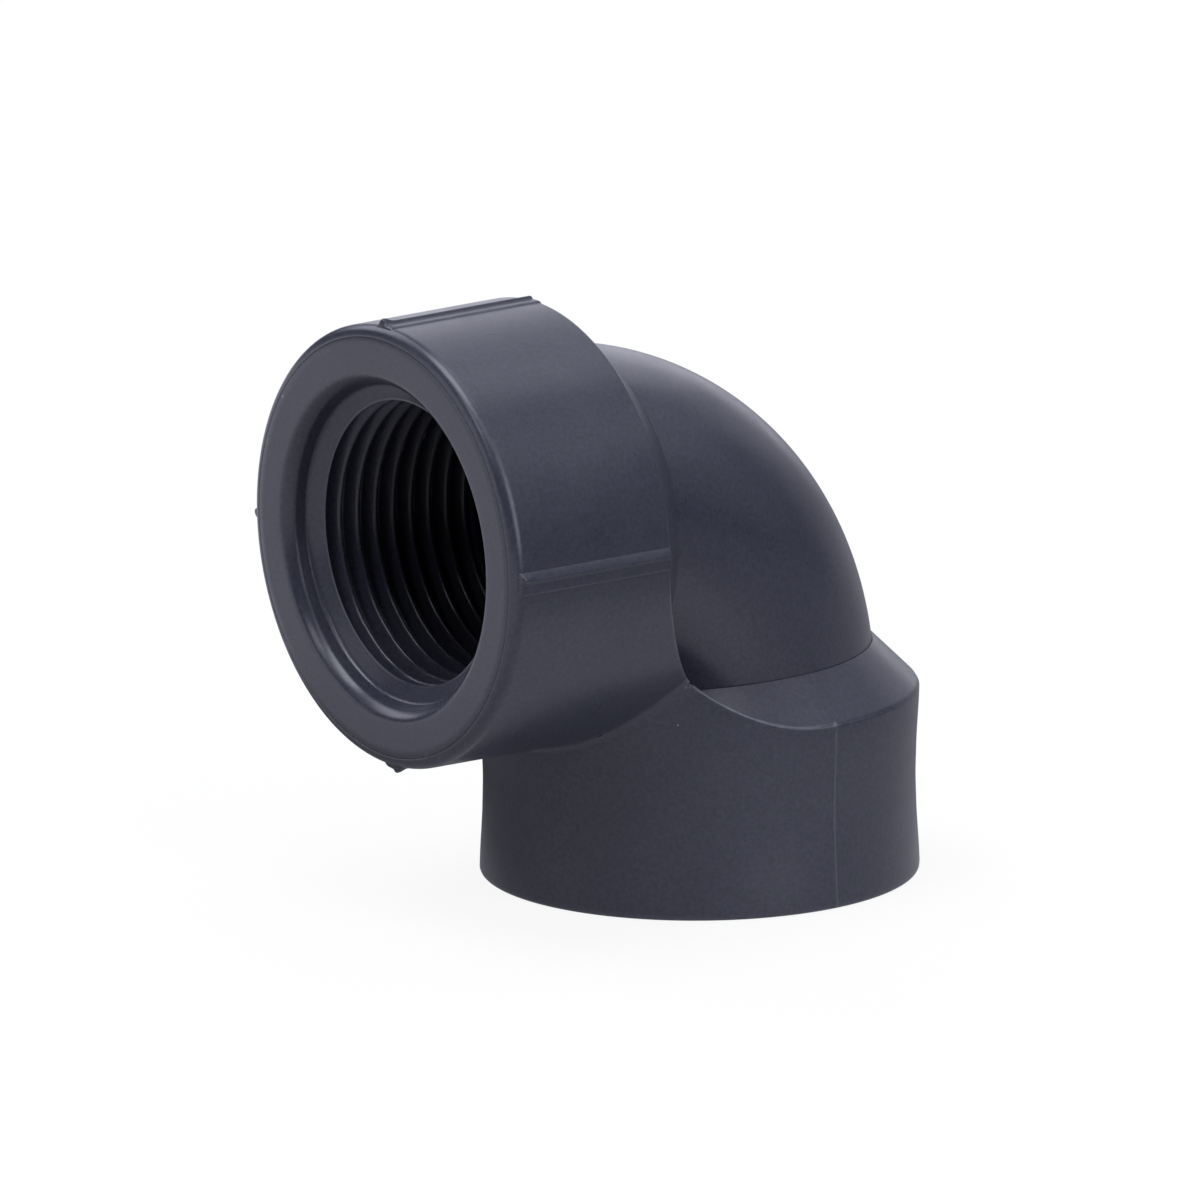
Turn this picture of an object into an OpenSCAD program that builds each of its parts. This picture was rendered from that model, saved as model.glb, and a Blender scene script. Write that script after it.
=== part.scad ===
// 90 degree pipe elbow for irrigation lines, 1 inch size.
// One end is a plain slip socket that a pipe is cemented into, the other
// is a ribbed hub with a tapered female pipe thread.
//
// Frame: millimetres. The origin is the centre of the slip socket's mouth,
// on the mouth plane. +Z runs up the socket's axis into the elbow, and the
// threaded hub opens towards -Y. The two axes cross at the elbow's centre.

/* [Overall] */
// Distance from the socket's mouth to the threaded hub's axis
socket_to_centre = 40; // [36:0.5:48]
// Distance from the socket's axis to the threaded hub's flat face
hub_to_centre = 40; // [38:0.5:48]
// Outer radius of the threaded hub's collar and of the corner web
hub_r = 23.2; // [22.8:0.1:25]
// Distance from the centre to the shoulder behind each hub
shoulder_d = 20.4; // [19.6:0.1:21.4]
// Outer radius of the bend between the two hubs
bend_r = 18.2; // [17.4:0.1:18.8]
// Radius of the waterway through the bend
waterway_r = 13.2; // [11:0.1:13.2]

/* [Slip socket] */
// Bore radius of the socket, mean of the slightly tapered moulded bore
socket_bore_r = 16.75; // [16.6:0.01:16.9]
// Depth from the mouth to the stop that the pipe's end meets
socket_depth = 22.8; // [20:0.1:23.4]
// Outer radius of the socket at its mouth
socket_mouth_r = 22.8; // [22.4:0.1:23.1]
// Outer radius at the waist, where the thick wall sinks as it cools
socket_waist_r = 22.4; // [22:0.1:22.8]
// Height of the waist above the mouth
socket_waist_z = 9.5; // [6:0.5:14]
// Outer radius at the shoulder
socket_top_r = 22.9; // [22.6:0.1:23.2]
// Lead-in chamfer round the socket's mouth
socket_chamfer = 0.4; // [0.2:0.1:0.8]

/* [Threaded hub] */
// Radius where the flat face ends and the collar's rounded shoulder begins
face_r = 22.05; // [21.6:0.05:22.3]
// Radius of the recess at the flat face
recess_r = 17.8; // [17.4:0.1:18.4]
// Depth of the recess
recess_d = 2.4; // [1.5:0.1:2.6]
// Depth at which the lead-in chamfer ends
lead_d = 3.4; // [3:0.1:3.8]

/* [Pipe thread] */
// Pitch of the thread, 11.5 turns to the inch
pitch = 2.209; // [2.2:0.001:2.32]
// Crest (minor) radius of the thread at the end of the lead-in
minor_r = 14.85; // [14.7:0.01:15]
// Depth of the thread form
thread_h = 1.55; // [1.2:0.01:1.6]
// Whole turns of thread
turns = 8; // [5:1:8]
// Plain bore radius behind the thread
pilot_r = 14.2; // [13.8:0.01:14.25]

/* [Grip ribs] */
// How far each rib stands out of the collar
rib_h = 0.45; // [0.3:0.05:0.7]
// How far the nub at a rib's front end stands out of the collar
nub_h = 0.8; // [0.7:0.1:1.4]
// Length of the nub along the rib
nub_l = 1.4; // [1:0.1:3]
// Width of a rib where it meets the collar
rib_w = 2.5; // [1.8:0.1:4]
// Width of a rib along its crest
rib_top_w = 0.6; // [0.4:0.1:1]
// Distance from a rib's steep foot to its crest
rib_lean = 0.4; // [0.2:0.1:0.6]
// Turn of the ribs about the hub, seen facing the hub, from upright and level
rib_turn = 1.0; // [-10:0.1:10]
// Number of ribs round the collar
rib_count = 4; // [2:1:8]

/* [Hidden] */
$fn = 96;
// small offset that keeps surfaces from coinciding
clearance = 0.02;
// small overlap where shapes join or a cut breaks through a face
overlap = 0.01;
// how far a full-size cut runs past the face it opens
overcut = 1;

// lengths of the two hubs, from the open end to the shoulder
socket_length = socket_to_centre - shoulder_d;
hub_length = hub_to_centre - shoulder_d;
// both shoulders fall back at 45 degrees until they are inside the bend
shoulder_rise = hub_r - bend_r + 1.0;
socket_end = socket_length + shoulder_rise;
hub_end = hub_length + shoulder_rise;
// wall of the collar, and radius of its rounded front shoulder
collar_wall = hub_r - face_r;

// corner web: its distance from each hub axis, and the radius of its scooped edge
web_inset = 3;
scoop_r = shoulder_d + 0.3;

// the 1:16 taper on the diameter is 1:32 on the radius
taper = 1 / 32;
// radius of the thread's root cone at a depth below the flat face
function root_r(depth) = minor_r + thread_h - (depth - lead_d) * taper;
// radius of the lead-in cone at a depth, from the recess down to the crests
lead_top_r = root_r(recess_d) + clearance;
function lead_r(depth) =
    lead_top_r - (depth - recess_d) * (lead_top_r - minor_r) / (lead_d - recess_d);
// how far the recess floor reaches outside the lead-in
recess_floor_w = 0.5;

// depth of the first thread section's middle, of the thread's end, and of
// the plain bore's start
thread_start = recess_d + pitch / 2 + clearance;
thread_end = thread_start + turns * pitch + pitch / 2;
pilot_start = thread_end + 0.4;

// ---- placing -------------------------------------------------------------

// Hub frame: +Z of the child runs inwards from the flat face.
module in_hub() {
    translate([0, -hub_to_centre, socket_to_centre]) rotate([-90, 0, 0]) children();
}

// Quarter torus between the two hub axes, swept about the inner corner.
module quarter_bend(r) {
    translate([0, -shoulder_d, socket_length])
        rotate([90, 0, 90])
            rotate_extrude(angle = 90)
                translate([shoulder_d, 0]) circle(r = r);
}

// Box larger than the elbow, with one face on or parallel to the 45 degree
// mitre between the hubs. base is the box's lower face, measured from the mitre.
mitre_box = [80, 180, 120];
module beside_mitre(base) {
    translate([0, 0, socket_to_centre]) rotate([45, 0, 0])
        translate([-mitre_box.x / 2, -mitre_box.y / 2, base]) cube(mitre_box);
}

module socket_side() {
    beside_mitre(base = -mitre_box.z);
}

module hub_side() {
    beside_mitre(base = 0);
}

// ---- envelopes, without any bore -----------------------------------------

module socket_envelope() {
    rotate_extrude()
        polygon([[0, 0],
                 [socket_mouth_r, 0],
                 [socket_waist_r, socket_waist_z],
                 [socket_top_r, socket_length],
                 [socket_top_r - shoulder_rise, socket_end],
                 [0, socket_end]]);
}

module hub_envelope() {
    in_hub() rotate_extrude()
        polygon([[0, 0],
                 [hub_r, 0],
                 [hub_r, hub_length],
                 [hub_r - shoulder_rise, hub_end],
                 [0, hub_end]]);
}

// ---- slip socket ---------------------------------------------------------

module slip_socket() {
    color([0.235, 0.24, 0.275])
    intersection() {
        difference() {
            socket_envelope();
            // the bore the pipe is cemented into
            translate([0, 0, -overcut])
                cylinder(r = socket_bore_r, h = socket_depth + overcut);
            // lead-in round the mouth
            translate([0, 0, -overlap])
                cylinder(r1 = socket_bore_r + socket_chamfer + overlap,
                         r2 = socket_bore_r,
                         h = socket_chamfer + overlap);
            // waterway above the pipe stop
            quarter_bend(waterway_r);
        }
        socket_side();
    }
}

// ---- bend ----------------------------------------------------------------

module elbow_bend() {
    color([0.25, 0.25, 0.285])
    difference() {
        quarter_bend(bend_r);
        quarter_bend(waterway_r);
        socket_envelope();
        hub_envelope();
    }
}

// ---- web in the inner corner ---------------------------------------------

// Both hub cylinders carry on into the inner corner, where they meet in a
// mitre, and the web is scooped to a circle about the elbow's centre.
module corner_web() {
    span = shoulder_d - web_inset;
    block_w = 60;
    scoop_w = 80;

    module corner_block() {
        translate([-block_w / 2, -shoulder_d, socket_length]) cube([block_w, span, span]);
    }

    color([0.23, 0.235, 0.27])
    difference() {
        union() {
            intersection() {
                translate([0, 0, socket_length])
                    cylinder(r = socket_top_r - clearance, h = span);
                corner_block();
            }
            intersection() {
                translate([0, -web_inset, socket_to_centre]) rotate([90, 0, 0])
                    cylinder(r = hub_r - clearance, h = span);
                corner_block();
            }
        }
        translate([-scoop_w / 2, 0, socket_to_centre]) rotate([0, 90, 0])
            cylinder(r = scoop_r, h = scoop_w);
        quarter_bend(bend_r);
        socket_envelope();
        hub_envelope();
    }
}

// ---- threaded hub --------------------------------------------------------

// Inner body of the hub: flat face, recess, root cone of the thread, plain
// bore, and the shoulder behind.
module threaded_hub() {
    color([0.31, 0.32, 0.36])
    intersection() {
        difference() {
            in_hub() rotate_extrude()
                polygon([[pilot_r, pilot_start],
                         [root_r(thread_end), thread_end],
                         [root_r(recess_d), recess_d],
                         [lead_top_r + recess_floor_w, recess_d],
                         [recess_r, 0],
                         [face_r, 0],
                         [face_r, hub_length + collar_wall],
                         [hub_r - shoulder_rise, hub_end],
                         [pilot_r, hub_end]]);
            quarter_bend(waterway_r);
        }
        hub_side();
    }
}

// ---- thread --------------------------------------------------------------

// One right-handed coil of ridge that sits on the root cone, with 60 degree
// flanks. It fades in at the lead-in cone and out at the plain bore.
module pipe_thread() {
    steps_per_turn = 56;
    steps = turns * steps_per_turn;
    foot_half_w = pitch * 0.465;
    crest_half_w = foot_half_w - thread_h / tan(60);
    // lengths of the fades, in turns, and the least share of the height left
    fade_in = 0.2;
    fade_out = 0.3;
    fade_min = 0.08;

    function fade(i) = max(fade_min, min(1, i / (steps_per_turn * fade_in),
                                         (steps - i) / (steps_per_turn * fade_out)));
    // the crest stays outside the lead-in cone and, behind it, the minor radius
    function crest_r(i, depth) =
        max(root_r(depth) - thread_h * fade(i), lead_r(min(depth, lead_d)));
    // [radius, depth] of the front foot, front crest, rear crest and rear foot
    function section(i) =
        let (mid = thread_start + i * pitch / steps_per_turn)
        [[root_r(mid - foot_half_w), mid - foot_half_w],
         [crest_r(i, mid - crest_half_w), mid - crest_half_w],
         [crest_r(i, mid + crest_half_w), mid + crest_half_w],
         [root_r(mid + foot_half_w), mid + foot_half_w]];

    points = [for (i = [0 : steps])
              let (angle = i * 360 / steps_per_turn)
              for (corner = section(i))
              [corner[0] * cos(angle), corner[0] * sin(angle), corner[1]]];
    // two triangles from each section edge to the same edge one step on
    sides = [for (i = [0 : steps - 1], k = [0 : 3])
             let (from = i * 4 + k, to = i * 4 + (k + 1) % 4)
             each [[from, to, to + 4], [from, to + 4, from + 4]]];
    last = steps * 4;
    caps = [[0, 3, 2], [0, 2, 1],
            [last, last + 1, last + 2], [last, last + 2, last + 3]];
    color([0.27, 0.275, 0.315])
    in_hub() polyhedron(points = points, faces = concat(sides, caps), convexity = 10);
}

// ---- collar round the threaded hub ---------------------------------------

// Outer skin of the hub, with a rounded front shoulder.
module grip_collar() {
    color([0.27, 0.275, 0.315])
    intersection() {
        in_hub() rotate_extrude()
            union() {
                translate([face_r, collar_wall]) square([collar_wall, hub_length - collar_wall]);
                // rounded front shoulder
                intersection() {
                    translate([face_r, collar_wall]) circle(r = collar_wall);
                    translate([face_r, -overcut])
                        square([collar_wall + overcut, collar_wall + overcut]);
                }
                // sloped rear edge
                polygon([[face_r, hub_length - overlap],
                         [hub_r, hub_length - overlap],
                         [hub_r, hub_length],
                         [face_r, hub_length + collar_wall]]);
            }
        hub_side();
    }
}

// ---- grip ribs -----------------------------------------------------------

// Section of a rib of height h, with its base sunk below the collar's surface.
module rib_section(h) {
    half_w = rib_w / 2;
    base_r = hub_r - 0.4;
    foot_r = hub_r - clearance;
    polygon([[base_r, -half_w],
             [foot_r, -half_w],
             [hub_r + h, rib_lean - half_w],
             [hub_r + h, rib_lean + rib_top_w - half_w],
             [foot_r, half_w],
             [base_r, half_w]]);
}

// Each rib runs along the collar from its rounded shoulder to its rear
// edge, with a higher nub at the front and one steep flank.
module grip_ribs() {
    end_cut = 3;
    color([0.30, 0.31, 0.35])
    in_hub()
        for (i = [0 : rib_count - 1])
            rotate([0, 0, i * 360 / rib_count - rib_turn])
                difference() {
                    translate([0, 0, collar_wall]) union() {
                        linear_extrude(height = hub_length - collar_wall) rib_section(rib_h);
                        linear_extrude(height = nub_l) rib_section(nub_h);
                    }
                    translate([0, 0, -overcut]) cylinder(r = hub_r, h = hub_to_centre, $fn = 360);
                    // sloped front end
                    translate([hub_r, 0, collar_wall]) rotate([0, 45, 0])
                        translate([0, -rib_w, -end_cut]) cube([end_cut, 2 * rib_w, end_cut]);
                }
}

slip_socket();
elbow_bend();
corner_web();
threaded_hub();
pipe_thread();
grip_collar();
grip_ribs();
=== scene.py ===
"""A moulded PVC elbow: a threaded hub with a ribbed grip collar, a bend and a slip socket.

The hub's axis runs along Y and its open face looks to -Y. The socket's axis is Z and its
mouth lies on z = 0. The axes cross at (0, 0, AXIS_Z). A web fills the inner corner, on the
-Y and -Z side of the crossing. Geometry is worked out in millimetres from the crossing.
"""
import math
import bpy
import bmesh
import numpy as np
from mathutils import Vector, Matrix


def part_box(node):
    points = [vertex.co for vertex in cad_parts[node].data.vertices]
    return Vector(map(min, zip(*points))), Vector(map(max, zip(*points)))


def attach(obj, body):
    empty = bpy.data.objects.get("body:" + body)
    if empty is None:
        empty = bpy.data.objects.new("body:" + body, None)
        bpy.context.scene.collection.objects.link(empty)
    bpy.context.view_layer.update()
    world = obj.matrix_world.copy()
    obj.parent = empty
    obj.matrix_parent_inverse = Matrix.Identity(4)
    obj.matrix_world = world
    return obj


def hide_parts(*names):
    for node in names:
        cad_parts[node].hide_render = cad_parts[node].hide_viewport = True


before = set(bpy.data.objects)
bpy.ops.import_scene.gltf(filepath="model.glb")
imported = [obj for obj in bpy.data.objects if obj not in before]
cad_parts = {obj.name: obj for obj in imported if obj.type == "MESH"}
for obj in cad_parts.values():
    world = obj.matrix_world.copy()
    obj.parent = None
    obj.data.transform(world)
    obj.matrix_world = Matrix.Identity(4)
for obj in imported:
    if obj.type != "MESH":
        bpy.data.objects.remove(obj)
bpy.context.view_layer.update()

# ---------------------------------------------------------------------------
# sizes, in millimetres; the first ones come from the CAD pieces
# ---------------------------------------------------------------------------
MM = 0.001                                    # one millimetre in metres
collar_low, collar_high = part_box("grip_collar")
ribs_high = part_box("grip_ribs")[1]
HUB_R = collar_high.x * 1000                  # outer radius of the hub's collar
FACE_Y = collar_low.y * 1000                  # plane of the hub's flat face
AXIS_Z = collar_high.z * 1000 - HUB_R         # height of the hub's axis over the mouth
SHOULDER = -ribs_high.y * 1000                # from the crossing to each shoulder
RIB_TOP = ribs_high.x * 1000
BEND_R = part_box("elbow_bend")[1].x * 1000     # outer radius of the bend
FACE_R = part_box("threaded_hub")[1].x * 1000
CORE_R = FACE_R - 0.16                        # where the collar's skin meets the hub's core
WATER_R = 13.2                                # waterway
SOCKET_R = 22.8                               # socket's outside, before waist and flash

COLLAR_ROUND = 1.25                           # rounding of the collar's front shoulder
EDGE_ROUND = 0.30                             # rounding of the sharp outer edges
SOCKET_EDGE_ROUND = 0.36                      # rounding of the socket's shoulder edge
VALLEY_FILL = 1.1                             # fillet between the hub and the socket

THREAD_PITCH = 2.209
THREAD_CREST_R = 14.85
THREAD_HEIGHT = 1.50
THREAD_START, THREAD_END = 3.40, 22.4         # depths below the face
PILOT_R = 14.2                                # plain bore behind the thread

PART_STEP = 0.04                              # rear mould half stands this proud of the other
PART_Y = 0.82                                 # where the mould halves meet on the socket
PART_ANGLE = math.degrees(math.asin(PART_Y / SOCKET_R))

# ---------------------------------------------------------------------------
# outer skin: radii of the socket and the hub, and distance fields
# ---------------------------------------------------------------------------
# the socket's wall is waisted between mouth and shoulder, as thick mouldings sink
# (height above the mouth, outer radius)
WAIST = np.array([
    (-2, 22.80), (0, 22.79), (2, 22.72), (6, 22.47), (10, 22.37), (14, 22.50),
    (18, 22.77), (21, 22.88), (26, 22.96), (31, 23.0), (40, 23.0)])
WALL_Z = np.linspace(-2, 40, 421)
WALL_R = np.interp(WALL_Z, WAIST[:, 0], WAIST[:, 1])
for _ in range(60):
    WALL_R[1:-1] = 0.25 * WALL_R[:-2] + 0.5 * WALL_R[1:-1] + 0.25 * WALL_R[2:]
TOP_R = float(np.interp(AXIS_Z - SHOULDER, WALL_Z, WALL_R))   # socket's radius at its shoulder


def smooth(t):
    t = np.clip(t, 0, 1)
    return t * t * (3 - 2 * t)


def socket_r(z, y):
    """the socket's radius, with the flash and the step where the mould halves meet"""
    base = np.interp(z + AXIS_Z, WALL_Z, WALL_R)
    flash = 0.10 * np.exp(-((y - PART_Y) / 0.08) ** 2)
    return base + flash + PART_STEP * smooth((y - PART_Y + 0.05) / 0.10)


def hub_r(y):
    """the hub's radius, with a trace of draft towards the face"""
    return HUB_R - 0.10 * smooth((-y - SHOULDER) / (-FACE_Y - SHOULDER))


def round_cut(first, second, radius):
    """intersection whose edge is rounded"""
    corner = np.hypot(np.maximum(first + radius, 0), np.maximum(second + radius, 0))
    return np.minimum(-radius, np.maximum(first, second)) + corner


def round_join(first, second, radius):
    """union whose inner corner is filled"""
    corner = np.hypot(np.maximum(radius - first, 0), np.maximum(radius - second, 0))
    return np.maximum(radius, np.minimum(first, second)) - corner


def hub_field(points):
    return np.hypot(points[:, 0], points[:, 2]) - hub_r(points[:, 1])


def socket_field(points):
    return np.hypot(points[:, 0], points[:, 1]) - socket_r(points[:, 2], points[:, 1])


def tool_field(points):
    """the space round the bend: a quadrant whose corner is rounded about the crossing"""
    y, z = -points[:, 1], -points[:, 2]
    return np.hypot(np.maximum(y, 0), np.maximum(z, 0)) + np.minimum(np.maximum(y, z), 0) - SHOULDER


def barrels_field(points):
    """hub and socket joined with a filled valley"""
    hub_part = np.maximum(hub_field(points), points[:, 1] + 4)
    socket_part = np.maximum(socket_field(points), points[:, 2] + 4)
    return round_join(hub_part, socket_part, VALLEY_FILL)


def jacket_field(points):
    return round_cut(barrels_field(points), -tool_field(points), EDGE_ROUND)


def shoulder_field(points):
    """the socket with its 45 degree shoulder"""
    radius = np.hypot(points[:, 0], points[:, 1])
    cone = (radius + points[:, 2] + SHOULDER - TOP_R) / math.sqrt(2)
    return round_cut(socket_field(points), cone, SOCKET_EDGE_ROUND)


def skin_field(points):
    return np.minimum(jacket_field(points), shoulder_field(points))


def rear_field(points):
    """the hub with a square rear edge, as it is away from the web"""
    return round_cut(hub_field(points), points[:, 1] + SHOULDER, EDGE_ROUND)


def settle(points, field):
    """moves points onto the surface where the field is zero"""
    points = np.array(points, float)
    step = 1e-4
    for _ in range(8):
        value = field(points)
        slope = np.stack([(field(points + d) - field(points - d)) / (2 * step)
                          for d in np.eye(3) * step], 1)
        steepness = np.maximum((slope * slope).sum(1), 0.2)
        points = points - slope * (value / steepness)[:, None]
    return points


# ---------------------------------------------------------------------------
# mesh helpers
# ---------------------------------------------------------------------------
def make_object(name, points, faces, sharp=38.0):
    """builds an object from points in millimetres, measured from the crossing"""
    points = np.array(points, float).reshape(-1, 3) + np.array([0, 0, AXIS_Z])
    mesh = bpy.data.meshes.new(name)
    mesh.from_pydata((points * MM).tolist(), [], faces)
    bm = bmesh.new()
    bm.from_mesh(mesh)
    bmesh.ops.remove_doubles(bm, verts=bm.verts, dist=2e-6)
    bmesh.ops.dissolve_degenerate(bm, dist=1e-7, edges=bm.edges)
    bmesh.ops.recalc_face_normals(bm, faces=bm.faces)
    bm.to_mesh(mesh)
    bm.free()
    for polygon in mesh.polygons:
        polygon.use_smooth = True
    mesh.set_sharp_from_angle(angle=math.radians(sharp))
    obj = bpy.data.objects.new(name, mesh)
    bpy.context.scene.collection.objects.link(obj)
    return obj


def grid_faces(column_count, row_count, wrap=True, offset=0):
    """quads between columns of points; each column closes on itself, wrap joins last to first"""
    faces = []
    for i in range(column_count if wrap else column_count - 1):
        here = offset + i * row_count
        there = offset + ((i + 1) % column_count) * row_count
        for j in range(row_count):
            k = (j + 1) % row_count
            faces.append((here + j, there + j, there + k, here + k))
    return faces


def make_tube(name, columns, **options):
    """object from closed columns that also join last to first"""
    columns = np.array(columns)
    return make_object(name, columns, grid_faces(*columns.shape[:2]), **options)


def bezier(start, control, end, count):
    t = np.linspace(0, 1, count)[:, None]
    start, control, end = map(np.array, (start, control, end))
    return ((1 - t) ** 2 * start + 2 * t * (1 - t) * control + t ** 2 * end).tolist()


def line(start, end, count):
    start, end = np.array(start), np.array(end)
    return (np.linspace(0, 1, count)[:, None] * (end - start) + start).tolist()


def about_y(radius, y, cosine, sine):
    """points round the hub's axis"""
    return np.stack(np.broadcast_arrays(radius * cosine, y, radius * sine), -1)


def about_z(radius, z, cosine, sine):
    """points round the socket's axis"""
    return np.stack(np.broadcast_arrays(radius * cosine, radius * sine, z), -1)


def trim_to_mitre(columns, axis, limit_axis):
    """below the crossing, keeps one coordinate from passing the other, so nothing
    stands past the mitre plane y = z"""
    columns = np.array(columns)
    limit = columns[:, :, limit_axis]
    limit = np.where(limit < 0, limit, 1e9)
    columns[:, :, axis] = np.minimum(columns[:, :, axis], limit)
    return columns


# ---------------------------------------------------------------------------
# shared sampling: the hub's columns and the socket's columns meet on the
# mitre and on the edges of the web, so both use the same points there
# ---------------------------------------------------------------------------
CORNER_ANGLE = math.asin(SHOULDER / HUB_R)       # where the hub's skin reaches the corner
COLUMN_STEP = 1.25                               # degrees
DENSE = np.radians([0, 0.04, 0.08, 0.12, 0.17, 0.22, 0.28, 0.36, 0.45, 0.6, 0.9, 1.3])
DENSE_CLEARING = math.radians(1.4)               # even columns this near a dense one are dropped
EDGE_STEPS = np.array([0.07, 0.14, 0.21, 0.28, 0.36, 0.46, 0.62, 0.85])    # past an edge
END_ROWS = 1 - 0.065 * np.array([0.85, 0.7, 0.55, 0.42, 0.3, 0.2, 0.12, 0.06, 0.0])


def mitre_points():
    """the valley under the hub, where the hub's skin meets the socket's"""
    angles = np.linspace(-math.pi / 2 - (math.pi / 2 - CORNER_ANGLE), -CORNER_ANGLE, 61)
    height = HUB_R * np.sin(angles)
    points = settle(np.stack([HUB_R * np.cos(angles), height, height], 1), skin_field)
    points[:, 1] = points[:, 2] = (points[:, 1] + points[:, 2]) / 2
    points[:, 0][np.abs(points[:, 0]) < 1e-6] = 0
    return angles, points


def column_angles(low, high, dense_at=()):
    """angles in radians from low to high degrees, finer beside the ones named"""
    count = max(2, int(round((high - low) / COLUMN_STEP)) + 1)
    angles = list(np.radians(np.linspace(low, high, count)))
    for degrees in dense_at:
        middle = math.radians(degrees)
        angles = [a for a in angles if abs(a - middle) > DENSE_CLEARING]
        angles += [middle + d for d in DENSE] + [middle - d for d in DENSE]
    low, high = math.radians(low) - 1e-9, math.radians(high) + 1e-9
    return np.array(sorted({round(a, 12) for a in angles if low <= a <= high}))


MITRE_ANGLES, MITRE = mitre_points()

# hub: angle about its axis, 0 at +X, 90 at the top
HUB_WEB = column_angles(-math.degrees(CORNER_ANGLE), 0, dense_at=(0,))
HUB_FRONT_COUNT = len(MITRE_ANGLES) - 1          # the first columns end on the mitre
HUB_COLUMNS = np.concatenate([
    MITRE_ANGLES[:-1], HUB_WEB, column_angles(0, 180)[1:-1], (math.pi - HUB_WEB[::-1])[:-1]])

# socket: angle about its axis, 0 at +X, 90 at +Y (the rear)
socket_corner = math.degrees(math.asin(SHOULDER / TOP_R))
SOCKET_WEB = column_angles(-socket_corner, 0, dense_at=(0,))
socket_rear = column_angles(0, 180, dense_at=(PART_ANGLE, 180 - PART_ANGLE))[1:-1]
valley_turn = np.arctan2(MITRE[:, 1], MITRE[:, 0]) + math.pi / 2
half_front = math.pi / 2 - math.radians(socket_corner)
SOCKET_FRONT = (-math.pi / 2 + valley_turn * half_front / valley_turn[-1])[1:-1]
SOCKET_COLUMNS = np.concatenate([
    SOCKET_FRONT, SOCKET_WEB, socket_rear, math.pi - SOCKET_WEB[::-1]])

# the narrow crease a shoulder leaves against the bend (distance back from its end, depth)
CREASE = np.array([
    (0.36, 0), (0.28, 0), (0.22, 0), (0.185, 0),
    (0.165, 0.01), (0.15, 0.05), (0.13, 0.30), (-0.15, 0.34)])
CONE_LIMIT = 9.0                                 # furthest a shoulder's rows may run


def cone_rows(start, inward, first_row, count):
    """distances and depths of the rows down a 45 degree shoulder to its crease;
    inward is the step along the shoulder that loses one unit of radius"""
    along = np.linspace(0.3, CONE_LIMIT, 436)
    x, y, z = (np.array(start, float) + along[:, None] * inward).T
    tube = np.hypot(x, np.hypot(y + SHOULDER, z + SHOULDER) - SHOULDER) - BEND_R
    hits = np.nonzero(tube < 0)[0]
    end = max(float(along[hits[0]]) if len(hits) else CONE_LIMIT, first_row + 0.9)
    rows = np.concatenate([np.linspace(first_row, end - 0.45, count), end - CREASE[:, 0]])
    return rows, np.concatenate([np.zeros(count), CREASE[:, 1]])


# ---------------------------------------------------------------------------
# slip socket
# ---------------------------------------------------------------------------
def socket_inside():
    """profile from the waterway over the pipe stop, down the bore and out round the mouth,
    as (radius, height above the mouth)"""
    shoulder_z = AXIS_Z - SHOULDER
    stop_z = 22.8
    bore_r = 16.63                               # at the stop; it widens towards the mouth
    lip_r = WATER_R - 0.05
    profile = [[17.3, shoulder_z + 4.4], [lip_r, shoulder_z + 4.3], [lip_r, 23.15]]
    profile += bezier([lip_r, 23.1], [WATER_R, 22.82], [WATER_R + 0.35, stop_z], 5)
    profile += [[15.0, stop_z], [16.2, stop_z]]
    profile += bezier([16.3, stop_z], [bore_r, stop_z], [bore_r, 22.45], 5)
    profile += line([bore_r, 22.3], [bore_r + 0.22, 1.3], 7)
    profile += bezier([16.86, 1.1], [16.92, 0.55], [17.25, 0.22], 6)
    profile += bezier([17.3, 0.18], [17.5, 0.0], [17.9, 0.0], 5)
    profile += [[19.5, 0], [21.2, 0]]
    profile += bezier([22.35, 0], [22.74, 0], [22.78, 0.34], 7)
    return np.array(profile) - [0, AXIS_Z]


def build_socket():
    profile = socket_inside()
    rows = np.concatenate([np.linspace(0.02, 0.93, 26), END_ROWS])
    low_z = 0.34 - AXIS_Z                        # where the mouth's rounding ends
    edge_count = len(EDGE_STEPS)
    columns = []
    for i, angle in enumerate(SOCKET_COLUMNS):
        cosine, sine = math.cos(angle), math.sin(angle)
        on_mitre = i < len(SOCKET_FRONT)
        at_rear = 0 < angle < math.pi
        skin_y = sine * SOCKET_R
        shoulder_r = float(socket_r(-SHOULDER, skin_y))
        shoulder_z = TOP_R - SHOULDER - shoulder_r
        valley = MITRE[1 + i] if on_mitre else None
        if on_mitre:
            high_z = valley[2]
        else:
            high_z = shoulder_z if at_rear else -SHOULDER
        z = low_z + (high_z - low_z) * rows
        wall = settle(about_z(socket_r(z, skin_y), z, cosine, sine), skin_field)
        if on_mitre:
            wall[-1] = valley

        # over the edge and up the shoulder
        start = (shoulder_r * cosine, shoulder_r * sine, shoulder_z)
        inward = np.array([-cosine, -sine, 1.0])
        along, depth = cone_rows(start, inward, first_row=1.05, count=5)
        along = np.concatenate([EDGE_STEPS, along])
        cone = start + along[:, None] * inward
        if at_rear:
            cone = settle(cone, shoulder_field)
        else:
            # behind the web the edge is hidden, and is kept square so the skin above
            # shades in one piece
            turn = math.degrees(math.asin(sine))
            cone[:, 2] -= 0.06 * np.clip(1 - along / 0.5, 0, 1) * float(smooth(-turn / 6.0))
        outward = np.array([cosine, sine, 1.0])
        cone[edge_count:] -= depth[:, None] * outward / math.sqrt(2)
        inside = about_z(profile[:, 0], profile[:, 1], cosine, sine)
        columns.append(np.concatenate([inside, wall, cone]))
    return make_tube("slip_socket_body", trim_to_mitre(columns, axis=2, limit_axis=1))


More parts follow.
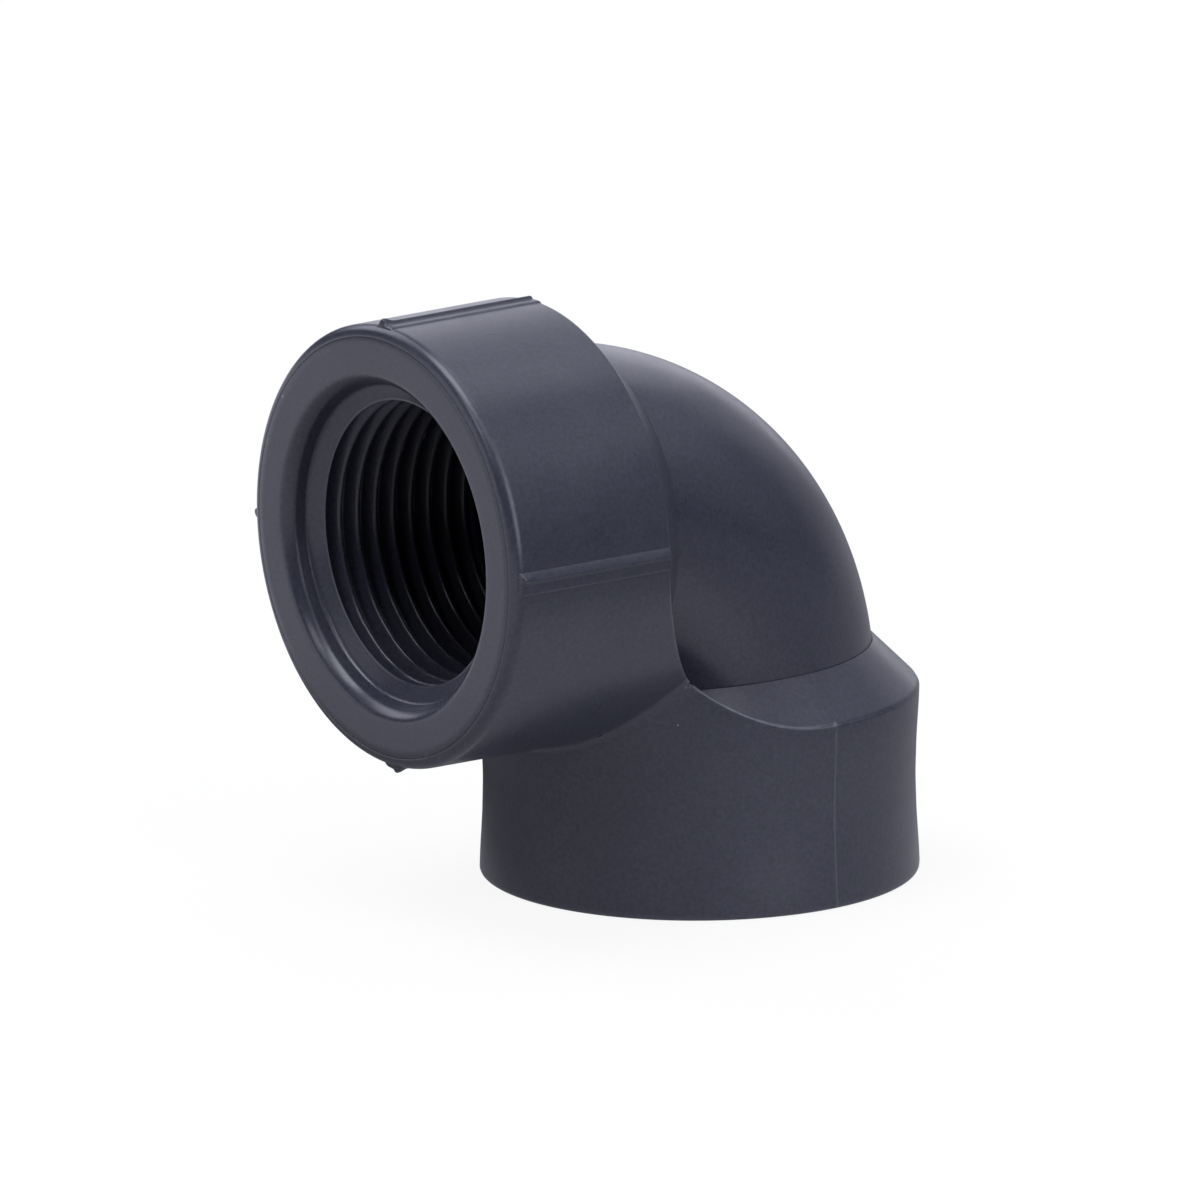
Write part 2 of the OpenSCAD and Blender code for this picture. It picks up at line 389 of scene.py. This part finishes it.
# ---------------------------------------------------------------------------
# collar round the threaded hub
# ---------------------------------------------------------------------------
def build_collar():
    rows = np.concatenate([np.linspace(0, 0.93, 24), END_ROWS])
    round_end = FACE_Y + COLLAR_ROUND
    round_r = float(hub_r(round_end)) - COLLAR_ROUND
    arc = [[round_r + COLLAR_ROUND * math.sin(t), round_end - COLLAR_ROUND * math.cos(t)]
           for t in np.radians(np.linspace(0, 90, 13))[1:]]
    # hidden back, as (radius, y)
    back = np.array([[21.4, -SHOULDER], [21.3, -SHOULDER - 1.2], [21.3, FACE_Y + 1.7]])
    start_y = round_end + 0.25
    columns = []
    for i, angle in enumerate(HUB_COLUMNS):
        cosine, sine = math.cos(angle), math.sin(angle)
        on_mitre = i < HUB_FRONT_COUNT
        seam = 0.3 + 0.7 * float(smooth(cosine + 0.5))   # the face's seam fades on the -X side
        front = np.array([
            [CORE_R, FACE_Y + 1.6], [CORE_R, FACE_Y + 0.10 * seam],
            [FACE_R - 0.14, FACE_Y + 0.035 * seam], [FACE_R - 0.10, FACE_Y + 0.006 * seam]] + arc)
        end_y = MITRE[i][1] if on_mitre else -SHOULDER
        y = start_y + (end_y - start_y) * rows
        wall = settle(about_y(hub_r(y), y, cosine, sine), skin_field)
        if on_mitre:
            wall[-1] = MITRE[i]
        rear = settle(about_y(HUB_R - EDGE_STEPS, -SHOULDER, cosine, sine), rear_field)
        columns.append(np.concatenate([
            about_y(front[:, 0], front[:, 1], cosine, sine), wall, rear,
            about_y(back[:, 0], back[:, 1], cosine, sine)]))
    return make_tube("grip_collar_skin", trim_to_mitre(columns, axis=1, limit_axis=2))


# ---------------------------------------------------------------------------
# web in the inner corner: one cheek each side
# ---------------------------------------------------------------------------
def cheek_rows(reach):
    """distances from the crossing, across the cheek and finer towards the scooped edge"""
    if reach - SHOULDER > 0.9:
        fine = np.array([0.62, 0.46, 0.36, 0.28, 0.21, 0.14, 0.07, 0])
        return np.concatenate([np.linspace(reach, SHOULDER + 0.8, 12), SHOULDER + fine])
    return np.linspace(reach, SHOULDER, 20)


def build_web():
    # edge of the web, from the hub's side round to the socket's
    edge = [(HUB_R * math.cos(a), -SHOULDER, HUB_R * math.sin(a)) for a in HUB_WEB[::-1]]
    edge += [(TOP_R * math.cos(a), TOP_R * math.sin(a), -SHOULDER) for a in SOCKET_WEB[1:]]
    inward = np.concatenate([EDGE_STEPS, [1.5, 2.6, 4.0, 6.0]])
    edge_count = len(EDGE_STEPS)
    columns = []
    for edge_x, edge_y, edge_z in edge:
        angle = math.atan2(-edge_z, -edge_y)
        unit_y, unit_z = -math.cos(angle), -math.sin(angle)
        reach = cheek_rows(math.hypot(edge_y, edge_z))
        y, z = reach * unit_y, reach * unit_z
        hub_x = np.sqrt(np.maximum(HUB_R * HUB_R - z * z, 0))
        socket_x = np.sqrt(np.maximum(socket_r(z, y) ** 2 - y * y, 0))
        cheek = np.stack([np.where(np.abs(y) > np.abs(z), hub_x, socket_x), y, z], 1)
        cheek[0] = (edge_x, edge_y, edge_z)
        scoop_y, scoop_z = SHOULDER * unit_y, SHOULDER * unit_z
        wall = np.stack(np.broadcast_arrays(cheek[-1, 0] - inward, scoop_y, scoop_z), 1)
        skin = settle(np.concatenate([cheek, wall[:edge_count]]), jacket_field)
        # the hidden back stays inside the solid wall, clear of both bores and the waterway
        offset = SHOULDER * min(abs(unit_y), abs(unit_z))
        back_x = max(9.5, math.sqrt(max(17.3 ** 2 - offset ** 2, 0.0)))
        tail = wall[edge_count:]
        tail[:, 0] = np.maximum(tail[:, 0], back_x + 0.04)
        back = [[back_x, scoop_y, scoop_z], [back_x, edge_y, edge_z]]
        columns.append(np.concatenate([skin, tail, back]))
    columns = np.array(columns)
    points, faces = [], []
    for side in (1, -1):
        faces += grid_faces(*columns.shape[:2], wrap=False, offset=len(points))
        points += (columns * [side, 1, 1]).reshape(-1, 3).tolist()
    return make_object("corner_web_cheeks", points, faces)


# ---------------------------------------------------------------------------
# threaded hub: face, recess, lead-in, plain bore and the shoulder behind
# ---------------------------------------------------------------------------
def hub_profile():
    """(radius, depth below the face), from the face's rim in and down to the plain bore"""
    profile = [[CORE_R - 0.01, 1.5], [CORE_R - 0.01, 0.09], [CORE_R - 0.03, 0.03],
               [CORE_R - 0.08, 0.0]]
    profile += line([21.0, 0.0], [18.5, 0.0], 4)
    # the mouth of the recess turns in slowly, most slowly about 45 degrees
    point, tilt = np.array([18.3, 0.0]), 0.0
    for run, end_tilt, count in ((0.60, 38, 7), (0.90, 56, 8), (0.50, 80, 6)):
        for k in range(count):
            slope = math.radians(tilt + (end_tilt - tilt) * (k + 0.5) / count)
            point = point + run / count * np.array([-math.cos(slope), math.sin(slope)])
            profile.append(point.tolist())
        tilt = end_tilt
    profile += line([point[0] - 0.03, point[1] + 0.17], [16.80, 2.02], 4)
    profile += bezier([16.785, 2.12], [16.72, 2.45], [16.40, 2.62], 7)
    profile += line([16.25, 2.70], [15.12, 3.30], 6)
    profile += bezier([15.06, 3.335], [14.90, 3.38], [14.86, THREAD_START], 5)
    # behind the thread, then out to the plain bore
    profile += [[17.6, THREAD_START + 0.02], [17.6, THREAD_END]]
    profile += bezier([15.2, 22.42], [14.25, 22.45], [PILOT_R, 22.9], 5)
    profile += [[PILOT_R, 24.0], [PILOT_R, 25.3], [15.6, 25.5]]
    return np.array(profile)


def build_hub():
    profile = hub_profile()
    shoulder_depth = -FACE_Y - SHOULDER
    base_r = HUB_R - 0.33                        # where the rear cone starts
    hidden = np.array([[base_r, shoulder_depth - 0.3], [21.35, shoulder_depth - 0.6],
                       [21.35, 1.55]])
    columns = []
    for angle in np.linspace(0, 2 * math.pi, 360, endpoint=False):
        cosine, sine = math.cos(angle), math.sin(angle)
        start = (base_r * cosine, -SHOULDER, base_r * sine)
        inward = np.array([-cosine, 1.0, -sine])
        outward = np.array([cosine, 1.0, sine])
        along, depth = cone_rows(start, inward, first_row=0.0, count=9)
        cone = start + along[:, None] * inward - depth[:, None] * outward / math.sqrt(2)
        columns.append(np.concatenate([
            about_y(profile[:, 0], FACE_Y + profile[:, 1], cosine, sine), cone[::-1],
            about_y(hidden[:, 0], FACE_Y + hidden[:, 1], cosine, sine)]))
    columns = trim_to_mitre(columns, axis=1, limit_axis=2)
    return make_tube("threaded_hub_core", columns, sharp=32.0)


# ---------------------------------------------------------------------------
# thread: a right-handed V groove with soft crests and roots
# ---------------------------------------------------------------------------
def build_thread():
    row_count = int((THREAD_END - THREAD_START) / (THREAD_PITCH / 18))
    turn = np.linspace(0, 2 * math.pi, 288, endpoint=False)
    angle, depth = np.meshgrid(
        turn, np.linspace(THREAD_START, THREAD_END, row_count), indexing="ij")
    crest_r = THREAD_CREST_R - (depth - THREAD_START) / 32
    # the groove's middle lies deeper the further it turns clockwise, seen from
    # the open end, and is 4.2 mm below the face on the -X side
    turns = (depth - 4.2) / THREAD_PITCH + (angle - math.pi) / (2 * math.pi)
    off_middle = np.abs(turns - np.round(turns))         # in pitches
    vee = np.clip(1 - off_middle / 0.455, 0, 1)
    cut = 1.12 * vee
    cut = cut - 0.5 * (cut - 1.0 + np.sqrt((cut - 1.0) ** 2 + 0.010))    # soft root
    cut = cut * smooth(vee / 0.16)                                      # soft crest
    fade = smooth((depth - THREAD_START) / 0.10) * smooth((21.6 - depth) / 1.2)
    radius = crest_r + THREAD_HEIGHT * np.clip(cut, 0, 1) * fade
    groove = about_y(radius, FACE_Y + depth, np.cos(angle), np.sin(angle))
    hidden = [about_y(17.8, FACE_Y + end, np.cos(turn), np.sin(turn))[:, None]
              for end in (THREAD_END, THREAD_START + 0.03)]
    return make_tube("pipe_thread_ridges", np.concatenate([groove] + hidden, 1), sharp=60.0)


# ---------------------------------------------------------------------------
# bend
# ---------------------------------------------------------------------------
def build_bend():
    turn = np.linspace(0, 2 * math.pi, 192, endpoint=False)
    cosine, sine = np.cos(turn), np.sin(turn)

    def ring(radius, angle):
        """section of the bend; the angle is 0 at the socket's end, 90 degrees at the hub's"""
        reach = SHOULDER + radius * cosine
        return np.stack([radius * sine, -SHOULDER + reach * np.cos(angle),
                         -SHOULDER + reach * np.sin(angle)], 1)

    rings = [ring(BEND_R, angle) for angle in np.radians(np.linspace(4, 86, 97))]
    # the hidden ends step in behind the hub's bore and the pipe stop, not through them
    rings.append(about_y(17.0, -15.0, sine, cosine))
    # the waterway runs between the plain bore behind the thread and the pipe stop
    reach = SHOULDER + WATER_R * cosine
    first = np.arccos(np.clip((SHOULDER - 15.4) / reach, -1, 1))
    last = np.arcsin(np.clip((SHOULDER - 16.2) / reach, -1, 1))
    rings += [ring(WATER_R, first + (last - first) * part) for part in np.linspace(0, 1, 61)]
    rings.append(about_z(17.4, -16.9, sine, cosine))
    return make_tube("elbow_bend_shell", rings)


# ---------------------------------------------------------------------------
# ribs: a crested ridge that swells into a nub at the collar's front shoulder
# ---------------------------------------------------------------------------
RIB_HEIGHT = 0.44
RIB_HALF_WIDTH = 1.285
RIB_CREST = 0.50                                 # place of the nub's crest across the rib
RIB_TWIST = math.radians(1.0)                    # the ribs' middles lie this far round
RIB_PARTS = np.concatenate([                     # stations from the front to the rear end
    np.linspace(0, 0.12, 30)[:-1], np.linspace(0.12, 0.95, 24), np.linspace(0.955, 1.0, 14)])


def rounded_end(distance, radius):
    """rises from 0 to 1 along a quarter circle"""
    return np.sqrt(np.clip(1 - (1 - np.clip(distance / radius, 0, 1)) ** 2, 0, 1))


def rib_section(across):
    """height across the rib: a low ramp on one side, a bead with a steep side on the other"""
    bead = np.minimum(np.clip((across + 0.05) / 0.22, 0, 1),
                      np.clip((1.0 - across) / 0.72, 0, 1) ** 0.8)
    pad = 0.42 * smooth((across + 1) / 0.20)
    section = np.where(across < 0.3, np.maximum(bead, pad), bead)
    section = np.convolve(np.pad(section, 1, mode="edge"), [0.2, 0.6, 0.2], "valid")
    section = section / section.max()
    section[0] = section[-1] = 0
    return section


def build_rib(name, angle, nub_rise, nub_side):
    """nub_side is the nub's spread on the ramp's side"""
    front, rear = FACE_Y + 0.62, -SHOULDER + 0.05
    across = np.linspace(-1, 1, 41)              # from the ramp's foot to the bead's steep side
    section = rib_section(across)
    spread = np.where(across < RIB_CREST, nub_side, 0.36)
    nub_section = np.exp(-((across - RIB_CREST) / spread) ** 2)
    turn = angle + RIB_TWIST + across * RIB_HALF_WIDTH / HUB_R
    cosine, sine = np.cos(turn), np.sin(turn)
    rings = []
    for part in RIB_PARTS:
        y = front + (rear - front) * part
        from_front = y - front
        start = rounded_end(from_front, 0.40)
        height = RIB_HEIGHT * start * rounded_end(rear - y, 0.30)
        nub = nub_rise * start * math.exp(-(max(from_front - 0.50, 0) / 0.62) ** 2)
        # the collar's shoulder falls away under the front end
        under = FACE_Y + COLLAR_ROUND - y
        drop = 0.0
        if under > 0:
            drop = COLLAR_ROUND - math.sqrt(max(COLLAR_ROUND ** 2 - under * under, 0))
        base = hub_r(y)
        radius = (base - drop + height * section
                  + (nub + 0.9 * drop * start) * nub_section * (section > 0)
                  - 0.03 * (1 - section))
        top = about_y(np.minimum(radius, RIB_TOP - 0.01), y, cosine, sine)
        bottom = about_y(base - drop - 0.5, y, cosine, sine)
        rings.append(np.concatenate([top, bottom[::-1]]))
    ring_count, size = np.array(rings).shape[:2]
    faces = grid_faces(ring_count, size, wrap=False)
    faces.append(tuple(range(size))[::-1])
    faces.append(tuple(range((ring_count - 1) * size, ring_count * size)))
    return make_object(name, rings, faces, sharp=50.0)


# (name, degrees round the hub, rise of the nub, spread of the nub on the ramp's side)
RIBS = (("right", 0, 0.24, 0.30), ("top", 90, 0.42, 0.42),
        ("left", 180, 0.48, 0.60), ("bottom", 270, 0.28, 1.60))

socket = build_socket()
collar = build_collar()
web = build_web()
hub = build_hub()
thread = build_thread()
bend = build_bend()
ribs = [build_rib("grip_rib_" + name, math.radians(degrees), rise, side)
        for name, degrees, rise, side in RIBS]


# ---------------------------------------------------------------------------
# vertex attributes that the materials read
# ---------------------------------------------------------------------------
def mark(obj, level, name="wear_and_highlight"):
    """stores a value from 0 to 1 for each vertex"""
    places = np.empty(len(obj.data.vertices) * 3)
    obj.data.vertices.foreach_get("co", places)
    points = places.reshape(-1, 3) * 1000 - np.array([0, 0, AXIS_Z])
    attribute = obj.data.attributes.new(name, "FLOAT", "POINT")
    attribute.data.foreach_set("value", np.clip(level(points), 0, 1))


def body_wear_and_highlight(points):
    """painted highlight, partly wear, along the web's edge and on the corner where it ends, and
    wear round the socket's mouth
    """
    gap = (barrels_field(points) + 0.05) ** 2 + (tool_field(points) - 0.05) ** 2
    edge = np.exp(-gap / (2 * 0.15 ** 2)) * smooth((PART_Y + 0.1 - points[:, 1]) / 0.2)
    corner = np.array([math.sqrt(TOP_R ** 2 - PART_Y ** 2), PART_Y, -SHOULDER])
    mirrored = points.copy()
    mirrored[:, 0] = np.abs(mirrored[:, 0])
    edge = 0.7 * edge + np.exp(-((mirrored - corner) ** 2).sum(1) / (2 * 0.20 ** 2))
    radius = np.hypot(points[:, 0], points[:, 1])
    mouth = np.exp(-((radius - 22.7) ** 2 + (points[:, 2] + AXIS_Z) ** 2) / (2 * 0.22 ** 2))
    return edge + 0.5 * mouth


# painted highlight: a pale ring at the face's rim, where the seam's step would catch the light
def face_rim_highlight(points):
    ring = (np.hypot(points[:, 0], points[:, 2]) - FACE_R + 0.13) / 0.07
    return 0.55 * np.exp(-ring ** 2) * (points[:, 1] < FACE_Y + 0.3)


# painted shade mask: marks the waterway inside the bend, which the material darkens
def waterway_shade_mask(points):
    reach = np.hypot(points[:, 1] + SHOULDER, points[:, 2] + SHOULDER) - SHOULDER
    return (np.hypot(points[:, 0], reach) < WATER_R + 0.5).astype(float)


mark(socket, body_wear_and_highlight)
mark(web, body_wear_and_highlight)
mark(bend, waterway_shade_mask, "inside")
mark(collar, face_rim_highlight)


# ---------------------------------------------------------------------------
# materials
# ---------------------------------------------------------------------------
class ShaderGraph:
    """short ways to add nodes to a material or a world"""

    def __init__(self, owner):
        owner.use_nodes = True
        self.tree = owner.node_tree
        self.tree.nodes.clear()

    def node(self, kind, inputs=None, **settings):
        """each input is a value or the socket that drives it"""
        node = self.tree.nodes.new("ShaderNode" + kind)
        for key, value in settings.items():
            setattr(node, key, value)
        for key, value in (inputs or {}).items():
            if isinstance(value, bpy.types.NodeSocket):
                self.tree.links.new(value, node.inputs[key])
            else:
                node.inputs[key].default_value = value
        return node

    def math(self, operation, first, second=None):
        inputs = {0: first} if second is None else {0: first, 1: second}
        return self.node("Math", inputs, operation=operation).outputs[0]

    def remap(self, value, source=(0, 1), target=(0, 1)):
        return self.node("MapRange", {
            "Value": value, "From Min": source[0], "From Max": source[1],
            "To Min": target[0], "To Max": target[1]}).outputs["Result"]

    def noise(self, coords, scale, detail, **inputs):
        inputs.update(Vector=coords, Scale=scale, Detail=detail)
        return self.node("TexNoise", inputs).outputs["Fac"]

    def mix_color(self, factor, first, second, blend="MIX"):
        return self.node("Mix", {"Factor": factor, "A": first, "B": second},
                         data_type="RGBA", blend_type=blend).outputs["Result"]

    def length(self, vector):
        return self.node("VectorMath", {0: vector}, operation="LENGTH").outputs["Value"]

    def mix_shader(self, factor, first, second):
        return self.node("MixShader", {0: factor, 1: first, 2: second}).outputs[0]


def melt_color(graph, coords, color):
    """slow drift of tone in the melt, with pigment grain"""
    ramp = graph.node("ValToRGB", {
        "Fac": graph.noise(coords, scale=42, detail=3, Distortion=0.6)})
    stops = ((0.30, (0.93, 0.93, 0.94)), (0.72, (1.06, 1.06, 1.05)))     # place, tint
    for element, (position, tint) in zip(ramp.color_ramp.elements, stops):
        element.position = position
        element.color = [c * t for c, t in zip(color, tint)] + [1]
    grain = graph.remap(graph.noise(coords, scale=2300, detail=2),
                        source=(0.3, 0.7), target=(0.82, 1.18))
    return graph.mix_color(1.0, ramp.outputs["Color"], grain, blend="MULTIPLY")


def seam_factor(graph, xyz):
    """the flash where the mould halves meet, pale partly as flash and partly as a painted highlight
    along its step; below the shoulder and only on the outside:
    the bore and the mouth come off one core"""
    gap = graph.math("ABSOLUTE", graph.math("SUBTRACT", xyz["Y"], PART_Y * MM))
    seam = graph.remap(gap, source=(0.00005, 0.00015), target=(0.34, 0.0))
    shoulder_z = AXIS_Z - SHOULDER
    low = graph.remap(xyz["Z"], source=((shoulder_z - 1.0) * MM, shoulder_z * MM),
                      target=(1.0, 0.0))
    flat = graph.node("CombineXYZ", {"X": xyz["X"], "Y": xyz["Y"]}).outputs[0]
    outer = graph.remap(graph.length(flat), source=(0.0220, 0.0223))
    above_rim = graph.remap(xyz["Z"], source=(0.00002, 0.0002))
    return graph.math("MULTIPLY", graph.math("MULTIPLY", seam, low),
                      graph.math("MULTIPLY", outer, above_rim))


def wear_and_highlight_paleness(graph, coords, xyz, rubbed_and_highlit_edges):
    """how pale the plastic is: sharp edges, pale from wear and as a painted highlight; marked
    vertices, wear and painted highlight; or the seam, flash with a painted highlight; the most of
    them
    """
    rub = graph.noise(coords, scale=900, detail=4)
    edge = 0.0
    if rubbed_and_highlit_edges:
        # painted highlight, partly wear: sharper edges turn paler
        edge = graph.remap(graph.node("NewGeometry").outputs["Pointiness"],
                           source=(0.575, 0.72), target=(0.0, 0.55))
    edge_wear_and_highlight = graph.math("MULTIPLY", edge, rub)
    wear_and_highlight = graph.node("Attribute", attribute_name="wear_and_highlight").outputs["Fac"]
    patchy = graph.remap(rub, source=(0.25, 0.75), target=(0.40, 0.95))
    wear_and_highlight = graph.math("MULTIPLY", wear_and_highlight, patchy)
    most = graph.math("MAXIMUM", wear_and_highlight, seam_factor(graph, xyz))
    return graph.math("MAXIMUM", most, edge_wear_and_highlight)


def dust_factor(graph, coords, strength):
    """sparse specks in a few of the cells"""
    cells = graph.node("TexVoronoi", {"Vector": coords, "Scale": 230, "Randomness": 1.0}).outputs
    near = graph.math("LESS_THAN", cells["Distance"], 0.034)
    channels = graph.node("SeparateColor", {0: cells["Color"]})
    rare = graph.math("GREATER_THAN", channels.outputs[0], 0.90)
    return graph.math("MULTIPLY", graph.math("MULTIPLY", near, rare), strength)


def surface_normal(graph, coords):
    """fine texture of the mould and the faint sink of thick walls"""
    normal = graph.node("Bump", {
        "Height": graph.noise(coords, scale=1900, detail=3),
        "Strength": 0.10, "Distance": 0.00003}).outputs["Normal"]
    return graph.node("Bump", {
        "Height": graph.noise(coords, scale=60, detail=2),
        "Strength": 0.35, "Distance": 0.00012, "Normal": normal}).outputs["Normal"]


def pvc(name, color, rough, core=False, rubbed_and_highlit_edges=True):
    """satin plastic; core is the kind inside the thread, with painted shade darkening colour and
    reflection down the thread; otherwise painted shade darkens the waterway
    """
    material = bpy.data.materials.new(name)
    graph = ShaderGraph(material)
    coords = graph.node("TexCoord").outputs["Object"]
    xyz = graph.node("SeparateXYZ", {0: coords}).outputs
    # the pale tint stands for wear, flash and painted highlights on edges and the seam
    base = graph.mix_color(wear_and_highlight_paleness(graph, coords, xyz, rubbed_and_highlit_edges),
                           melt_color(graph, coords, color), (0.16, 0.165, 0.19, 1))
    base = graph.mix_color(dust_factor(graph, coords, strength=0.0 if core else 0.55),
                           base, (0.42, 0.42, 0.44, 1))
    if core:
        # painted shade: colour and reflection darken down the thread, deeper into the bore
        shade = graph.remap(xyz["Y"], source=((FACE_Y + 4.0) * MM, (FACE_Y + 13.0) * MM),
                            target=(1.0, 0.35))
    else:
        # painted shade: colour and reflection darken on the waterway's walls inside the bend
        inside = graph.node("Attribute", attribute_name="inside").outputs["Fac"]
        shade = graph.remap(inside, target=(1.0, 0.25))
    clouds = graph.noise(coords, scale=130, detail=6, Roughness=0.6)
    surface = graph.node("BsdfPrincipled", {
        "Base Color": graph.mix_color(1.0, base, shade, blend="MULTIPLY"),
        "Specular IOR Level": graph.math("MULTIPLY", shade, 0.5),
        "Roughness": graph.remap(clouds, source=(0.25, 0.75), target=(rough - 0.05, rough + 0.06)),
        "IOR": 1.50,
        "Normal": surface_normal(graph, coords)})
    graph.node("OutputMaterial", {0: surface.outputs[0]})
    return material


BODY_COLOR = (0.0370, 0.0390, 0.0560)
body_mat = pvc("pvc_body", BODY_COLOR, rough=0.29)
socket_mat = pvc("pvc_socket", BODY_COLOR, rough=0.29, rubbed_and_highlit_edges=False)
# the thread's copy of the plastic is a shade darker: painted shade inside the bore
core_mat = pvc("pvc_thread_core", (0.0340, 0.0360, 0.0520), rough=0.27, core=True)


def finish_piece(obj, node, material):
    obj.data.materials.append(material)
    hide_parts(node)
    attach(obj, "root")


finish_piece(socket, "slip_socket", socket_mat)
finish_piece(collar, "grip_collar", body_mat)
finish_piece(web, "corner_web", socket_mat)
finish_piece(hub, "threaded_hub", body_mat)
finish_piece(thread, "pipe_thread", core_mat)
finish_piece(bend, "elbow_bend", body_mat)
for rib in ribs:
    finish_piece(rib, "grip_ribs", body_mat)

# ---------------------------------------------------------------------------
# floor, world, lights and camera, in metres
# ---------------------------------------------------------------------------
scene = bpy.context.scene
centre = Vector((0, 0, AXIS_Z * MM))             # the crossing of the axes

CAM_AZIMUTH = math.radians(53.951)
CAM_ELEVATION = math.radians(13.946)
CAM_ROLL = math.radians(-0.394)
CAM_DISTANCE = 3.0
VIEW_WIDTH = 0.12392721                          # seen across the picture at the aim point
AIM_RIGHT, AIM_UP = -0.0100456, -0.0112288       # aim point from the crossing
LEVEL_RIGHT = Vector((math.cos(CAM_AZIMUTH), math.sin(CAM_AZIMUTH), 0))
LEVEL_FRONT = Vector((math.sin(CAM_AZIMUTH), -math.cos(CAM_AZIMUTH), 0))

# light the floor sends back up at the object, on each side as the camera sees it
# (direction, strength near, strength far)
GLOW = (
    (LEVEL_RIGHT, 0.343, 0.043), (-LEVEL_RIGHT, 0.024, 0.546),
    (LEVEL_FRONT, 0.403, 0.237), (-LEVEL_FRONT, 0.0, 0.352))
FLOOR_HALF = 6.0
FLOOR_Z = -0.00003


def glow_strength(graph):
    where = graph.node("TexCoord").outputs["Object"]
    away = graph.length(where)
    total = None
    for direction, near, far in GLOW:
        dot = graph.node("VectorMath", {0: where, 1: direction}, operation="DOT_PRODUCT")
        on_side = graph.remap(dot.outputs["Value"], source=(-0.04, 0.04))
        level = graph.remap(away, source=(0.06, 0.12), target=(near, far))
        part = graph.math("MULTIPLY", on_side, level)
        total = part if total is None else graph.math("ADD", total, part)
    return total


def floor_paper():
    material = bpy.data.materials.new("floor_paper")
    graph = ShaderGraph(material)
    diffuse = graph.node("BsdfDiffuse", {"Color": (0.80, 0.80, 0.80, 1)}).outputs[0]
    white = graph.node("Emission", {"Strength": 1.0}).outputs[0]
    glow = graph.node("Emission", {
        "Color": (0.975, 0.985, 1.09, 1), "Strength": glow_strength(graph)}).outputs[0]
    paper = graph.mix_shader(0.90, diffuse, white)
    seen = graph.node("LightPath").outputs["Is Camera Ray"]
    top = graph.mix_shader(seen, glow, paper)
    # the paper is seen from above only, so the object can be looked at from below
    clear = graph.node("BsdfTransparent").outputs[0]
    below = graph.node("NewGeometry").outputs["Backfacing"]
    graph.node("OutputMaterial", {0: graph.mix_shader(below, top, clear)})
    return material


def build_floor():
    mesh = bpy.data.meshes.new("floor")
    corners = [(x * FLOOR_HALF, y * FLOOR_HALF, FLOOR_Z)
               for x, y in ((-1, -1), (1, -1), (1, 1), (-1, 1))]
    mesh.from_pydata(corners, [], [(0, 1, 2, 3)])
    obj = bpy.data.objects.new("floor", mesh)
    scene.collection.objects.link(obj)
    mesh.materials.append(floor_paper())


def build_world():
    """white to the camera, a faint fill for everything else"""
    world = bpy.data.worlds.new("studio")
    scene.world = world
    graph = ShaderGraph(world)
    fill, backdrop = (
        graph.node("Background", {"Color": (1, 1, 1, 1), "Strength": strength}).outputs[0]
        for strength in (0.02, 1.0))
    seen = graph.node("LightPath").outputs["Is Camera Ray"]
    graph.node("OutputWorld", {0: graph.mix_shader(seen, fill, backdrop)})


# the tent: broad soft sources all round (direction from the crossing, strength)
TENT = (
    ((1.00, 0.00, 0.04), 0.31), ((-0.74, 0.67, 0.05), 0.32), ((-0.26, 0.96, 0.13), 0.09),
    ((-0.46, -0.88, 0.14), 0.33), ((0.93, 0.12, 0.35), 0.55), ((-0.76, 0.53, 0.36), 0.06),
    ((0.46, 0.80, 0.39), 0.07), ((-0.35, 0.83, 0.44), 0.07), ((0.84, -0.07, 0.54), 0.23),
    ((-0.56, 0.61, 0.56), 0.26), ((-0.80, -0.07, 0.60), 0.78), ((-0.14, 0.76, 0.63), 0.07),
    ((0.72, 0.20, 0.66), 0.34), ((0.27, 0.66, 0.71), 0.12), ((0.51, 0.36, 0.78), 0.11),
    ((0.32, -0.18, 0.93), 0.42), ((-0.10, 0.32, 0.94), 0.52), ((-0.12, -0.26, 0.96), 1.62),
)
LIGHT_COLOR = (0.975, 0.985, 1.10)


def add_sun(name, direction, power, spread):
    direction = Vector(direction).normalized()
    light = bpy.data.lights.new(name, "SUN")
    light.angle = spread
    light.energy = power
    light.color = LIGHT_COLOR
    obj = bpy.data.objects.new(name, light)
    obj.location = centre + direction * 0.5
    obj.rotation_euler = (-direction).to_track_quat("-Z", "Y").to_euler()
    scene.collection.objects.link(obj)


def build_camera():
    level = math.cos(CAM_ELEVATION)
    back = Vector((math.sin(CAM_AZIMUTH) * level, -math.cos(CAM_AZIMUTH) * level,
                   math.sin(CAM_ELEVATION)))
    level_up = back.cross(LEVEL_RIGHT)
    right = math.cos(CAM_ROLL) * LEVEL_RIGHT + math.sin(CAM_ROLL) * level_up
    up = -math.sin(CAM_ROLL) * LEVEL_RIGHT + math.cos(CAM_ROLL) * level_up
    camera = bpy.data.cameras.new("camera")
    camera.sensor_width = 36.0
    camera.lens = camera.sensor_width * CAM_DISTANCE / VIEW_WIDTH
    camera.clip_start = 0.05
    camera.clip_end = 50
    obj = bpy.data.objects.new("camera", camera)
    obj.location = centre + right * AIM_RIGHT + up * AIM_UP + back * CAM_DISTANCE
    obj.rotation_euler = Matrix((right, up, back)).transposed().to_euler()
    scene.collection.objects.link(obj)
    scene.camera = obj


build_floor()
scene.view_settings.view_transform = "Standard"
build_world()
for i, (direction, power) in enumerate(TENT):
    add_sun("tent_%02d" % i, direction, power, spread=0.62)
add_sun("key", (0.13, -0.73, 0.68), power=0.30, spread=0.30)
build_camera()
